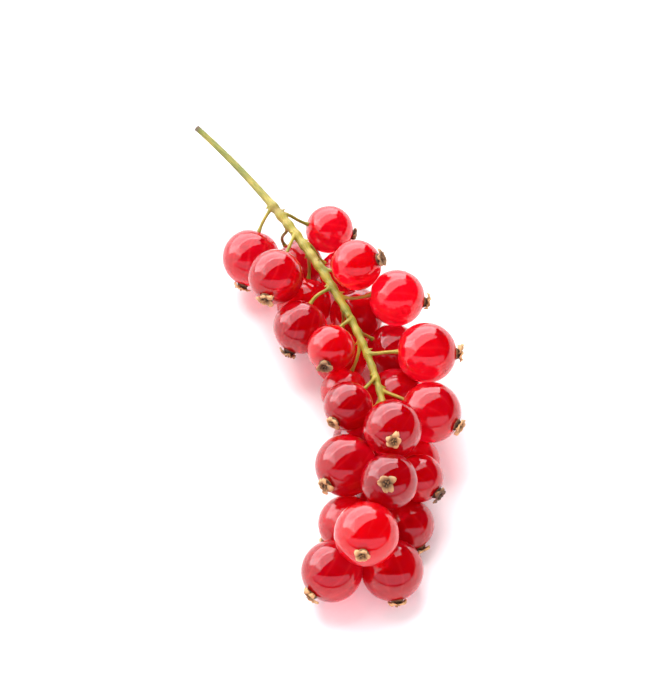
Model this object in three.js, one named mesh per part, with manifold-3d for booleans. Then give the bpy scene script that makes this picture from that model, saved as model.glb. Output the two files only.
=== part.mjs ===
// A strig of redcurrants as picked: one green stalk with its berries, lying on a flat surface.
// Millimetres, +Z up. The cut end of the stalk points to +Y and the youngest berry to -Y.

import * as THREE from "three";
import { mergeVertices } from "three/addons/utils/BufferGeometryUtils.js";
import Module from "manifold-3d";

const { Vector2, Vector3 } = THREE;

// ---- Driving dimensions ----

// The middle line of the stalk from its cut end to its tip: the control points of one cubic curve.
const STALK_LINE = [
  new Vector3(-21.69, 41.65, 14.0),
  new Vector3(-7.69, 28.65, 11.0),
  new Vector3(18.91, -7.95, 11.0),
  new Vector3(6.71, -31.35, 8.0),
];
const STALK_RADIUS = { cutEnd: 0.5, firstBerry: 0.8, tip: 0.4 };
const STALK_STEPS = 44;
const STALK_SIDES = 8;
const BARE_SHARE = 0.27; // the share of the line before the first berry
const ZIGZAG = 0.25; // how far the stalk steps aside at each berry

const BERRY_COUNT = 30;
const BERRY_RADIUS = { largest: 5.0, smallest: 3.8 };
const BERRY_RARITY = 1.4; // over 1, and small berries are rarer than large ones
const BERRY_DETAIL = 2; // how often each face of the icosahedron is divided
const BERRY_PRESS = 0.35; // how far two touching berries press into each other
const FLOOR_PRESS = 0.2; // how far a berry is flattened where it rests

// A pedicel is the thin stem of one berry.
const PEDICEL_LENGTH = { firstBerry: 4.8, tip: 3.2 };
const PEDICEL_LENGTH_SPREAD = 0.12;
const PEDICEL_SHORTEST = 1.6;
const PEDICEL_LEAN = { firstBerry: 60, tip: 38 }; // degrees off the stalk's own direction
const PEDICEL_RADIUS = { foot: 0.45, middle: 0.28, berryEnd: 0.42 };
const PEDICEL_BEND = 0.35; // the share of its length that leaves or arrives straight
const PEDICEL_STEPS = 5;
const PEDICEL_SIDES = 4;
const TURN_PER_BERRY = 137.5; // degrees round the stalk
const TURN_SPREAD = 16;
const GAP = 0.35; // between the green stems and the red berries

// The crown is the dried flower at the far end of each berry, a shallow cup with five lobes.
const CROWN = { radius: 1.5, notch: 0.62, foot: 0.9, sunk: 0.5, height: 0.9, dimple: 0.3, lobes: 5 };
const CROWN_TILT = 0.22; // how far a crown may sit off the line of its pedicel
const CROWN_CLEARANCE = 0.1;

const SEED = 8;

// ---- Settling, as steps in which the berries sink, part and lean on each other ----

const SETTLING_STEPS = 300;
const LEANING_STEPS = 120; // the last of them, in which no berry stands free of the rest
const SINK = 0.05;
const STIFFNESS = 0.006; // the pull of each pedicel back to the way it grew
const COHESION = 0.06;
const COHESION_REACH = 1.6;
const PEDICEL_PUSH = { other: 0.6, own: 0.3 };
const TURNING_STEPS = 40;
const BENDING_STEPS = 30;

const UP = new Vector3(0, 0, 1);
const { lerp, clamp, degToRad } = THREE.MathUtils;
const stalkLine = new THREE.CubicBezierCurve3(...STALK_LINE);
const stalkPoints = stalkLine.getPoints(60);

// Park and Miller's generator, giving the same draws between -1 and 1 each time.
function seededDraws(seed) {
  const modulus = 2147483647;
  const passedOver = 8; // the first draws of near seeds are alike
  let state = seed * 7919 + 1;
  const draw = () => {
    state = (state * 16807) % modulus;
    return (state / modulus) * 2 - 1;
  };
  for (let i = 0; i < passedOver; i++) draw();
  return draw;
}

// The berries where they grew, in a spiral round the stalk, each reaching out towards the tip.
function grow() {
  const draw = seededDraws(SEED);
  const berries = [];
  for (let i = 0; i < BERRY_COUNT; i++) {
    const age = i / (BERRY_COUNT - 1); // 0 at the first berry, 1 at the tip
    const share = lerp(BARE_SHARE, 1, age);
    const along = stalkLine.getTangent(share);
    const side = new Vector3().crossVectors(along, UP).normalize();
    const over = new Vector3().crossVectors(side, along);
    const turn = degToRad(TURN_PER_BERRY * i + TURN_SPREAD * draw());
    const outwards = side.multiplyScalar(Math.cos(turn)).addScaledVector(over, Math.sin(turn));
    const isLast = i === BERRY_COUNT - 1;
    const lean = isLast ? 0 : degToRad(lerp(PEDICEL_LEAN.firstBerry, PEDICEL_LEAN.tip, age));
    const heading = along.multiplyScalar(Math.cos(lean)).addScaledVector(outwards, Math.sin(lean));
    const smallness = Math.abs(draw()) ** BERRY_RARITY;
    const radius = lerp(BERRY_RADIUS.largest, BERRY_RADIUS.smallest, smallness);
    const usualLength = lerp(PEDICEL_LENGTH.firstBerry, PEDICEL_LENGTH.tip, age);
    const length = usualLength * (1 + PEDICEL_LENGTH_SPREAD * draw());
    const tilt = new Vector3(draw(), draw(), draw()).multiplyScalar(CROWN_TILT);
    const foot = stalkLine.getPoint(share).addScaledVector(outwards, ZIGZAG);
    const grown = foot.clone().addScaledVector(heading, length + radius);
    berries.push({ foot, heading, radius, length, tilt, grown, centre: grown.clone() });
  }
  return berries;
}

function gapBetween(a, b) {
  return a.centre.distanceTo(b.centre) - a.radius - b.radius;
}

// Moves two berries evenly along the line between them, by a share of what they miss a gap by.
function bringTo(gap, share, a, b) {
  const line = b.centre.clone().sub(a.centre).normalize();
  const move = ((gapBetween(a, b) - gap) * share) / 2;
  a.centre.addScaledVector(line, move);
  b.centre.addScaledVector(line, -move);
}

// The pairs that join all berries over the smallest gaps, found by adding the nearest one each time.
function leaningPairs(berries) {
  const joined = [berries[0]];
  const pairs = [];
  while (joined.length < berries.length) {
    let best = { gap: Infinity };
    for (const a of joined)
      for (const b of berries) {
        if (joined.includes(b)) continue;
        const gap = gapBetween(a, b);
        if (gap < best.gap) best = { gap, a, b };
      }
    joined.push(best.b);
    pairs.push([best.a, best.b]);
  }
  return pairs;
}

// Moves a point away from a centre until it is the given distance off, or a share of the way there.
function pushOut(point, centre, room, share = 1) {
  const away = point.clone().sub(centre);
  const missing = room - away.length();
  if (missing > 0) point.addScaledVector(away.normalize(), missing * share);
}

function closestOnSegment(point, from, to) {
  const run = to.clone().sub(from);
  const share = clamp(point.clone().sub(from).dot(run) / run.lengthSq(), 0, 1);
  return from.clone().addScaledVector(run, share);
}

function keepPedicelClear(berry, berries) {
  const back = berry.foot.clone().sub(berry.centre).normalize();
  const stemEnd = berry.centre.clone().addScaledVector(back, berry.radius);
  for (const other of berries) {
    if (other === berry) continue;
    const away = other.centre.clone().sub(closestOnSegment(other.centre, berry.foot, stemEnd));
    const missing = other.radius + PEDICEL_RADIUS.berryEnd + GAP - away.length();
    if (missing <= 0) continue;
    away.normalize();
    other.centre.addScaledVector(away, missing * PEDICEL_PUSH.other);
    berry.centre.addScaledVector(away, -missing * PEDICEL_PUSH.own);
  }
}

function keepReach(berry) {
  const reach = berry.centre.clone().sub(berry.foot);
  const shortest = berry.radius + PEDICEL_SHORTEST;
  const longest = berry.radius + berry.length;
  const distance = clamp(reach.length(), shortest, longest);
  berry.centre.copy(berry.foot).addScaledVector(reach.normalize(), distance);
}

// The strig is laid down: its berries sink until they lean on the surface and on each other.
function settle(berries) {
  let pairs = [];
  for (let step = 0; step < SETTLING_STEPS; step++) {
    if (step === SETTLING_STEPS - LEANING_STEPS) pairs = leaningPairs(berries);
    for (const berry of berries) {
      berry.centre.z -= SINK;
      berry.centre.lerp(berry.grown, STIFFNESS);
    }
    for (const [a, b] of pairs) if (gapBetween(a, b) > -BERRY_PRESS) bringTo(-BERRY_PRESS, 1, a, b);
    berries.forEach((a, i) => {
      for (const b of berries.slice(i + 1)) {
        const gap = gapBetween(a, b);
        if (gap < -BERRY_PRESS) bringTo(-BERRY_PRESS, 1, a, b);
        else if (gap < COHESION_REACH) bringTo(-BERRY_PRESS, COHESION, a, b);
      }
    });
    for (const berry of berries) {
      keepPedicelClear(berry, berries);
      const room = berry.radius + STALK_RADIUS.firstBerry + GAP;
      for (const point of stalkPoints) pushOut(berry.centre, point, room);
      keepReach(berry);
      berry.centre.z = Math.max(berry.centre.z, berry.radius - FLOOR_PRESS);
    }
  }
}

// Sets each berry's axis, from its pedicel to its crown, and turns both ends clear of what is near.
function turnBerries(berries) {
  for (const berry of berries)
    berry.axis = berry.centre.clone().sub(berry.foot).normalize().add(berry.tilt).normalize();
  for (let step = 0; step < TURNING_STEPS; step++)
    for (const berry of berries) {
      const { centre, radius, axis } = berry;
      const crown = centre.clone().addScaledVector(axis, radius + CROWN.height);
      const stemEnd = centre.clone().addScaledVector(axis, -radius);
      for (const other of berries) {
        if (other === berry) continue;
        pushOut(crown, other.centre, other.radius + CROWN.radius + CROWN_CLEARANCE, 0.5);
        pushOut(stemEnd, other.centre, other.radius + PEDICEL_RADIUS.berryEnd + GAP);
      }
      for (const point of stalkPoints)
        pushOut(crown, point, STALK_RADIUS.firstBerry + CROWN.radius + GAP);
      const rimDrop = CROWN.radius * Math.sqrt(1 - axis.z ** 2);
      crown.z = Math.max(crown.z, rimDrop + CROWN_CLEARANCE);
      axis.copy(crown).sub(stemEnd).normalize();
    }
}

// The curve of a berry's pedicel, bent clear of all berries.
function pedicelCurve(berry, berries) {
  const end = berry.centre.clone().addScaledVector(berry.axis, -berry.radius - GAP);
  const straight = berry.foot.distanceTo(end) * PEDICEL_BEND;
  const leaving = berry.foot.clone().addScaledVector(berry.heading, straight);
  const arriving = end.clone().addScaledVector(berry.axis, -straight);
  const curve = new THREE.CubicBezierCurve3(berry.foot, leaving, arriving, end);
  for (let step = 0; step < BENDING_STEPS; step++)
    for (const share of [0.3, 0.5, 0.7, 0.85]) {
      const point = curve.getPoint(share);
      const clear = point.clone();
      for (const other of berries) pushOut(clear, other.centre, other.radius + PEDICEL_RADIUS.foot + GAP);
      const bend = clear.sub(point);
      leaving.addScaledVector(bend, 1 - share);
      arriving.addScaledVector(bend, share);
    }
  return curve;
}

// ---- Shapes ----

const wasm = await Module();
wasm.setup();

function solid(geometry) {
  const bare = geometry.clone();
  bare.deleteAttribute("normal");
  bare.deleteAttribute("uv");
  const merged = mergeVertices(bare);
  return new wasm.Manifold(
    new wasm.Mesh({
      numProp: 3,
      vertProperties: new Float32Array(merged.attributes.position.array),
      triVerts: new Uint32Array(merged.index.array),
    }),
  );
}

function join(solids) {
  return solids.reduce((whole, next) => whole.add(next));
}

function geometryOf(made) {
  const { vertProperties, triVerts } = made.getMesh();
  const geometry = new THREE.BufferGeometry();
  geometry.setAttribute("position", new THREE.BufferAttribute(vertProperties, 3));
  geometry.setIndex(new THREE.BufferAttribute(triVerts, 1));
  geometry.computeVertexNormals();
  return geometry;
}

// A tube along a curve whose radius follows a function of the share of the curve's length.
function taperedTube(curve, steps, sides, radiusAt) {
  const drawnRadius = 0.1;
  const section = new THREE.Shape(
    Array.from({ length: sides }, (_, i) => {
      const turn = (i / sides) * 2 * Math.PI;
      return new Vector2(Math.cos(turn), Math.sin(turn)).multiplyScalar(drawnRadius);
    }),
  );
  const tube = new THREE.ExtrudeGeometry(section, { steps, bevelEnabled: false, extrudePath: curve });
  const centres = curve.getSpacedPoints(steps);
  const position = tube.attributes.position;
  const corner = new Vector3();
  for (let i = 0; i < position.count; i++) {
    corner.fromBufferAttribute(position, i);
    const distances = centres.map((centre) => corner.distanceTo(centre));
    const ring = distances.indexOf(Math.min(...distances));
    const scale = radiusAt(ring / steps) / drawnRadius;
    corner.sub(centres[ring]).multiplyScalar(scale).add(centres[ring]);
    position.setXYZ(i, corner.x, corner.y, corner.z);
  }
  return tube;
}

function stalk() {
  const { cutEnd, firstBerry, tip } = STALK_RADIUS;
  return taperedTube(stalkLine, STALK_STEPS, STALK_SIDES, (share) =>
    share < BARE_SHARE
      ? lerp(cutEnd, firstBerry, share / BARE_SHARE)
      : lerp(firstBerry, tip, (share - BARE_SHARE) / (1 - BARE_SHARE)),
  );
}

function pedicel(berry, berries) {
  const { foot, middle, berryEnd } = PEDICEL_RADIUS;
  return taperedTube(pedicelCurve(berry, berries), PEDICEL_STEPS, PEDICEL_SIDES, (share) =>
    share < 0.5 ? lerp(foot, middle, share * 2) : lerp(middle, berryEnd, share * 2 - 1),
  );
}

function ball(berry) {
  return new THREE.IcosahedronGeometry(berry.radius, BERRY_DETAIL).translate(...berry.centre);
}

// The crown's cup is turned on its axis, then every second meridian is drawn in between the lobes.
function crown(berry) {
  const { radius, notch, foot, sunk, height, dimple, lobes } = CROWN;
  const profile = [
    new Vector2(0, -sunk),
    new Vector2(foot, -sunk),
    new Vector2(radius, height),
    new Vector2(0, dimple),
  ];
  const cup = new THREE.LatheGeometry(profile, lobes * 2);
  const position = cup.attributes.position;
  for (let i = 0; i < position.count; i++) {
    const turn = Math.atan2(position.getX(i), position.getZ(i));
    const isNotch = Math.round((turn * lobes) / Math.PI) % 2 !== 0;
    const width = isNotch ? notch : 1;
    position.setXYZ(i, position.getX(i) * width, position.getY(i), position.getZ(i) * width);
  }
  const seat = berry.centre.clone().addScaledVector(berry.axis, berry.radius);
  const upright = new Vector3(0, 1, 0);
  const turn = new THREE.Quaternion().setFromUnitVectors(upright, berry.axis);
  return cup.applyQuaternion(turn).translate(...seat);
}

// Everything below the surface that the strig lies on.
function ground() {
  const size = 200;
  return new THREE.BoxGeometry(size, size, size).translate(0, 0, -size / 2);
}

function meshOf(name, made, material) {
  const mesh = new THREE.Mesh(geometryOf(made), new THREE.MeshStandardMaterial(material));
  mesh.name = name;
  return mesh;
}

// ---- The strig ----

const berries = grow();
settle(berries);
turnBerries(berries);

const greenParts = [stalk(), ...berries.map((berry) => pedicel(berry, berries))];
const redParts = berries.flatMap((berry) => [ball(berry), crown(berry)]);
const greenSolid = join(greenParts.map(solid));
const redSolid = join(redParts.map(solid)).subtract(solid(ground()));

const strig = new THREE.Group();
strig.add(
  meshOf("stem", greenSolid, { color: 0xa9ad3e, roughness: 0.55, metalness: 0 }),
  meshOf("berries", redSolid, { color: 0xc40d1a, roughness: 0.12, metalness: 0 }),
);

export default strig;
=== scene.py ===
"""A picked strig of redcurrants: glossy berries on one green stalk, lying on a pale studio floor.

The strig is laid out by the same rule as its solids: berries grow in a spiral round the stalk, sink and
lean on each other, and each one's pedicel bends clear of the rest. The strig's sizes are in millimetres.
Its meshes are in metres, and so is the studio.
"""

from __future__ import annotations

import logging
import math
from collections.abc import Callable, Iterator
from dataclasses import dataclass, field
from enum import Enum
from itertools import combinations

import bmesh
import bpy
import numpy as np
from mathutils import Matrix, Vector


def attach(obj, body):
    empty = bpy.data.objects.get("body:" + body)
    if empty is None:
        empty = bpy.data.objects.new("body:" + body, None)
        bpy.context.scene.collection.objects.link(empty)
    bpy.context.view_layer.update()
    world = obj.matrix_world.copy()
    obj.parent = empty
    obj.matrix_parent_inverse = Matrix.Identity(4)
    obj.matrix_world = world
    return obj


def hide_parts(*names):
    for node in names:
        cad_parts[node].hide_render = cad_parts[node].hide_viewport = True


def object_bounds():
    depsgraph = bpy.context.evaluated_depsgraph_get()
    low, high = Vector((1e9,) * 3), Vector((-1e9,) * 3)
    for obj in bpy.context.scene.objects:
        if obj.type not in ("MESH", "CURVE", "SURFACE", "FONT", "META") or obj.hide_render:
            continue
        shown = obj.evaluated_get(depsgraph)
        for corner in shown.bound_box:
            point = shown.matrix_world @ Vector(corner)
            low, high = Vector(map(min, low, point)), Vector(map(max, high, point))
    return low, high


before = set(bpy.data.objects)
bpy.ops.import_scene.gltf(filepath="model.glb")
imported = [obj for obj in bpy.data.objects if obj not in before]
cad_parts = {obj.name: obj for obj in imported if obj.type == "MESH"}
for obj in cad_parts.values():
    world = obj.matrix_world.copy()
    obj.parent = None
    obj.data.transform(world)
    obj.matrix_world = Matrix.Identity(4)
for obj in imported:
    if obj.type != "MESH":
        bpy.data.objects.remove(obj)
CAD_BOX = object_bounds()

log = logging.getLogger("redcurrants")

Draw = Callable[[], float]
Mesh = bmesh.types.BMesh
Verts = list[bmesh.types.BMVert]
Socket = bpy.types.NodeSocket

MM = 0.001
FULL_TURN = 2 * math.pi
UP = np.array([0.0, 0.0, 1.0])
ACROSS = np.array([1.0, 0.0, 0.0])
NEARLY_UPRIGHT = 0.9
AT_ORIGIN = Matrix.Identity(4)


class Slot(Enum):
    """The record's material slots."""

    STEM = "stem"
    BERRIES = "berries"
    CROWNS = "crowns"


# ---- Small helpers, in double precision ----


def length_of(vector: np.ndarray) -> float:
    """The length of a vector."""
    return math.sqrt(float(vector @ vector))


def unit(vector: np.ndarray) -> np.ndarray:
    """The vector at length one."""
    return vector / length_of(vector)


def lerp(start: float, end: float, share: float) -> float:
    """The value that lies a share of the way from start to end."""
    return start + (end - start) * share


def bell(distance: float, reach: float) -> float:
    """A smooth hump, one at no distance and fading out past its reach."""
    return math.exp(-((distance / reach) ** 2))


def turn_about_axis(turn: float) -> np.ndarray:
    """The matrix that turns about Z by an angle in radians."""
    cos, sin = math.cos(turn), math.sin(turn)
    return np.array([[cos, -sin, 0], [sin, cos, 0], [0, 0, 1]])


def push_out(point: np.ndarray, centre: np.ndarray, room: float, share: float = 1.0) -> None:
    """Moves a point away from a centre until it is the given distance off, or a share of the way there.

    Args:
        point: The point, moved in place.
        centre: What it keeps away from.
        room: The distance that it needs.
        share: How much of the missing distance it moves.
    """
    away = point - centre
    distance = length_of(away)
    if distance < room:
        point += away * ((room - distance) * share / distance)


def seeded_draws(seed: int) -> Draw:
    """Park and Miller's generator.

    Args:
        seed: Which run of draws to give.

    Returns:
        A function that gives the next draw, between -1 and 1.
    """
    modulus = 2147483647
    multiplier = 16807
    seed_spacing = 7919
    passed_over = 8
    state = seed * seed_spacing + 1

    def draw() -> float:
        """Steps the generator on.

        Returns:
            The next draw, between -1 and 1.
        """
        nonlocal state
        state = (state * multiplier) % modulus
        return (state / modulus) * 2 - 1

    for _ in range(passed_over):
        draw()
    return draw


@dataclass(frozen=True)
class Taper:
    """A size at the strig's first berry and at its tip, with a straight run between them."""

    first: float
    tip: float

    def at(self, age: float) -> float:
        """The size at an age from 0, the first berry, to 1, the tip."""
        return lerp(self.first, self.tip, age)


@dataclass
class CubicLine:
    """One cubic curve through space, given by its four control points as the rows of an array."""

    controls: np.ndarray
    fine_steps: int = 400
    tangent_step: float = 0.0001

    def point(self, share: float) -> np.ndarray:
        """The point at a share of the curve's parameter."""
        rest = 1 - share
        return np.array((rest**3, 3 * rest**2 * share, 3 * rest * share**2, share**3)) @ self.controls

    def points(self, steps: int) -> np.ndarray:
        """Points at equal steps of the parameter, both ends among them."""
        return np.array([self.point(i / steps) for i in range(steps + 1)])

    def tangent(self, share: float) -> np.ndarray:
        """The direction of the curve at a share, as a unit vector."""
        ahead, behind = min(share + self.tangent_step, 1.0), max(share - self.tangent_step, 0.0)
        return unit(self.point(ahead) - self.point(behind))

    def stretches(self) -> np.ndarray:
        """The lengths of the curve's fine steps."""
        return np.linalg.norm(np.diff(self.points(self.fine_steps), axis=0), axis=1)

    def length(self) -> float:
        """The length of the curve."""
        return float(self.stretches().sum())

    def spaced_shares(self, steps: int) -> np.ndarray:
        """The parameter's values at equal distances along the curve, both ends among them."""
        run = np.concatenate([[0.0], np.cumsum(self.stretches())])
        return np.interp(np.linspace(0, run[-1], steps + 1), run, np.linspace(0, 1, self.fine_steps + 1))


# ---- Where everything lies ----


@dataclass
class Berry:
    """One berry as it lies, with the foot of its pedicel on the stalk.

    The axis runs from the pedicel's end of the berry to its crown, and grown is where the centre was before
    the berry sank. The length is the most that its pedicel reaches.
    """

    foot: np.ndarray
    heading: np.ndarray
    radius: float
    length: float
    tilt: np.ndarray
    grown: np.ndarray
    centre: np.ndarray
    age: float
    axis: np.ndarray = field(default_factory=UP.copy)
    pedicel: CubicLine | None = None

    def gap_to(self, other: Berry) -> float:
        """The open distance between two berries, below zero where they press into each other."""
        return length_of(other.centre - self.centre) - self.radius - other.radius

    def bring_to(self, gap: float, share: float, other: Berry) -> None:
        """Moves two berries evenly along the line between them.

        Args:
            gap: The open distance that they should have.
            share: How much of what they miss it by they move.
            other: The other berry.
        """
        line = unit(other.centre - self.centre)
        move = (self.gap_to(other) - gap) * share / 2
        self.centre += line * move
        other.centre -= line * move

    def frame_matrix(self) -> np.ndarray:
        """Three rows, the berry's own across, over and axis directions."""
        side = unit(np.cross(UP if abs(self.axis[2]) < NEARLY_UPRIGHT else ACROSS, self.axis))
        return np.array([side, np.cross(self.axis, side), self.axis])


@dataclass
class StrigLayout:
    """The rule that places the stalk, its berries and their pedicels, in millimetres.

    The stalk's controls run from its cut end to its tip.
    """

    # The stalk
    stalk_controls: tuple = (
        (-21.69, 41.65, 14.0),
        (-7.69, 28.65, 11.0),
        (18.91, -7.95, 11.0),
        (6.71, -31.35, 8.0),
    )
    stalk_steps: int = 60
    stalk_radius: float = 0.8
    bare_share: float = 0.27
    zigzag: float = 0.25
    # The berries
    berry_count: int = 30
    berry_radius: tuple[float, float] = (5.0, 3.8)
    berry_rarity: float = 1.4
    berry_press: float = 0.35
    floor_press: float = 0.2
    turn_per_berry: float = 137.5
    turn_spread: float = 16
    gap: float = 0.35
    seed: int = 8
    # The pedicels
    pedicel_length: Taper = Taper(4.8, 3.2)
    pedicel_length_spread: float = 0.12
    pedicel_shortest: float = 1.6
    pedicel_lean: Taper = Taper(60, 38)
    pedicel_end_radius: float = 0.42
    pedicel_foot_radius: float = 0.45
    pedicel_bend: float = 0.35
    # The crowns
    crown_radius: float = 1.5
    crown_height: float = 0.9
    crown_tilt: float = 0.22
    crown_clearance: float = 0.1
    crown_push: float = 0.5
    # How they all settle
    settling_steps: int = 300
    leaning_steps: int = 120
    sink: float = 0.05
    stiffness: float = 0.006
    cohesion: float = 0.06
    cohesion_reach: float = 1.6
    push_other: float = 0.6
    push_own: float = 0.3
    turning_steps: int = 40
    bending_steps: int = 30
    bending_shares: tuple = (0.3, 0.5, 0.7, 0.85)

    def __post_init__(self) -> None:
        """Lays the whole strig out."""
        self.stalk = CubicLine(np.array(self.stalk_controls))
        self.stalk_points = self.stalk.points(self.stalk_steps)
        self.centres = np.zeros((self.berry_count, 3))
        self.berries = list(self.grow())
        self.feet = np.array([berry.foot for berry in self.berries])
        self.radii = np.array([berry.radius for berry in self.berries])
        self.settle()
        self.turn_berries()
        for berry in self.berries:
            berry.pedicel = self.pedicel_line(berry)

    def stalk_share(self, age: float) -> float:
        """The stalk's share at which the berry of that age grows."""
        return lerp(self.bare_share, 1, age)

    def grow(self) -> Iterator[Berry]:
        """Grows the berries in a spiral round the stalk, each reaching out towards the tip.

        Yields:
            Each berry where it grew, from the first one to the tip's.
        """
        draw = seeded_draws(self.seed)
        for i in range(self.berry_count):
            age = i / (self.berry_count - 1)
            share = self.stalk_share(age)
            along = self.stalk.tangent(share)
            side = unit(np.cross(along, UP))
            over = np.cross(side, along)
            turn = math.radians(self.turn_per_berry * i + self.turn_spread * draw())
            outwards = side * math.cos(turn) + over * math.sin(turn)
            is_last = i == self.berry_count - 1
            lean = 0 if is_last else math.radians(self.pedicel_lean.at(age))
            heading = along * math.cos(lean) + outwards * math.sin(lean)
            smallness = abs(draw()) ** self.berry_rarity
            radius = lerp(*self.berry_radius, smallness)
            length = self.pedicel_length.at(age) * (1 + self.pedicel_length_spread * draw())
            tilt = np.array([draw(), draw(), draw()]) * self.crown_tilt
            foot = self.stalk.point(share) + outwards * self.zigzag
            grown = foot + heading * (length + radius)
            self.centres[i] = grown
            yield Berry(foot, heading, radius, length, tilt, grown, self.centres[i], age)

    def leaning_pairs(self) -> list[tuple[Berry, Berry]]:
        """Joins all berries over the smallest gaps, adding the nearest one each time.

        Returns:
            The pairs of berries that lean on each other.
        """
        joined = [self.berries[0]]
        waiting = list(self.berries[1:])
        pairs = []
        while waiting:
            _, i, j = min((a.gap_to(b), i, j) for i, a in enumerate(joined) for j, b in enumerate(waiting))
            pairs.append((joined[i], waiting.pop(j)))
            joined.append(pairs[-1][1])
        return pairs

    def settle(self) -> None:
        """Lays the strig down: its berries sink until they lean on the surface and on each other."""
        pairs = []
        touching = -self.berry_press
        for step in range(self.settling_steps):
            if step == self.settling_steps - self.leaning_steps:
                pairs = self.leaning_pairs()
            for berry in self.berries:
                berry.centre[2] -= self.sink
                berry.centre += (berry.grown - berry.centre) * self.stiffness
            for a, b in pairs:
                if a.gap_to(b) > touching:
                    a.bring_to(touching, 1, b)
            for a, b in combinations(self.berries, 2):
                gap = a.gap_to(b)
                if gap < touching:
                    a.bring_to(touching, 1, b)
                elif gap < self.cohesion_reach:
                    a.bring_to(touching, self.cohesion, b)
            for i, berry in enumerate(self.berries):
                self.keep_pedicel_clear(i)
                self.keep_off_stalk(berry.centre, berry.radius + self.stalk_radius + self.gap)
                self.keep_reach(berry)
                berry.centre[2] = max(berry.centre[2], berry.radius - self.floor_press)

    def keep_pedicel_clear(self, i: int) -> None:
        """Parts a berry and all others that its pedicel would run into.

        Args:
            i: The berry's number.
        """
        berry = self.berries[i]
        stem_end = berry.centre + unit(berry.foot - berry.centre) * berry.radius
        run = stem_end - berry.foot
        share = np.clip((self.centres - berry.foot) @ run / (run @ run), 0, 1)
        away = self.centres - (berry.foot + share[:, None] * run)
        distance = np.linalg.norm(away, axis=1)
        missing = self.radii + self.pedicel_end_radius + self.gap - distance
        missing[i] = 0
        for other in np.flatnonzero(missing > 0):
            push = away[other] / distance[other] * missing[other]
            self.centres[other] += push * self.push_other
            berry.centre -= push * self.push_own

    def keep_off_stalk(self, point: np.ndarray, room: float) -> None:
        """Moves a point until the stalk is far enough off.

        Args:
            point: The point, moved in place.
            room: The distance that it needs.
        """
        if (((self.stalk_points - point) ** 2).sum(axis=1) < room * room).any():
            for stalk_point in self.stalk_points:
                push_out(point, stalk_point, room)

    def keep_reach(self, berry: Berry) -> None:
        """Keeps a berry as near to its foot, and as far off it, as its pedicel lets it be.

        Args:
            berry: The berry, moved in place.
        """
        reach = berry.centre - berry.foot
        shortest = berry.radius + self.pedicel_shortest
        longest = berry.radius + berry.length
        distance = min(max(length_of(reach), shortest), longest)
        berry.centre[:] = berry.foot + unit(reach) * distance

    def turn_berries(self) -> None:
        """Sets each berry's axis and turns both its ends clear of what is near."""
        for berry in self.berries:
            berry.axis = unit(unit(berry.centre - berry.foot) + berry.tilt)
        for _ in range(self.turning_steps):
            for berry in self.berries:
                crown = berry.centre + berry.axis * (berry.radius + self.crown_height)
                stem_end = berry.centre - berry.axis * berry.radius
                for other in self.berries:
                    if other is berry:
                        continue
                    crown_room = other.radius + self.crown_radius + self.crown_clearance
                    push_out(crown, other.centre, crown_room, self.crown_push)
                    push_out(stem_end, other.centre, other.radius + self.pedicel_end_radius + self.gap)
                self.keep_off_stalk(crown, self.stalk_radius + self.crown_radius + self.gap)
                rim_drop = self.crown_radius * math.sqrt(1 - berry.axis[2] ** 2)
                crown[2] = max(crown[2], rim_drop + self.crown_clearance)
                berry.axis = unit(crown - stem_end)

    def pedicel_line(self, berry: Berry) -> CubicLine:
        """Bends a berry's pedicel clear of all berries.

        Args:
            berry: The berry that it carries.

        Returns:
            The curve from the foot on the stalk to just short of the berry.
        """
        end = berry.centre - berry.axis * (berry.radius + self.gap)
        straight = length_of(end - berry.foot) * self.pedicel_bend
        leaving = berry.foot + berry.heading * straight
        line = CubicLine(np.array([berry.foot, leaving, end - berry.axis * straight, end]))
        for _ in range(self.bending_steps):
            for share in self.bending_shares:
                point = line.point(share)
                clear = point.copy()
                for other in self.berries:
                    push_out(clear, other.centre, other.radius + self.pedicel_foot_radius + self.gap)
                line.controls[1] += (clear - point) * (1 - share)
                line.controls[2] += (clear - point) * share
        return line


# ---- Making materials ----


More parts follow.
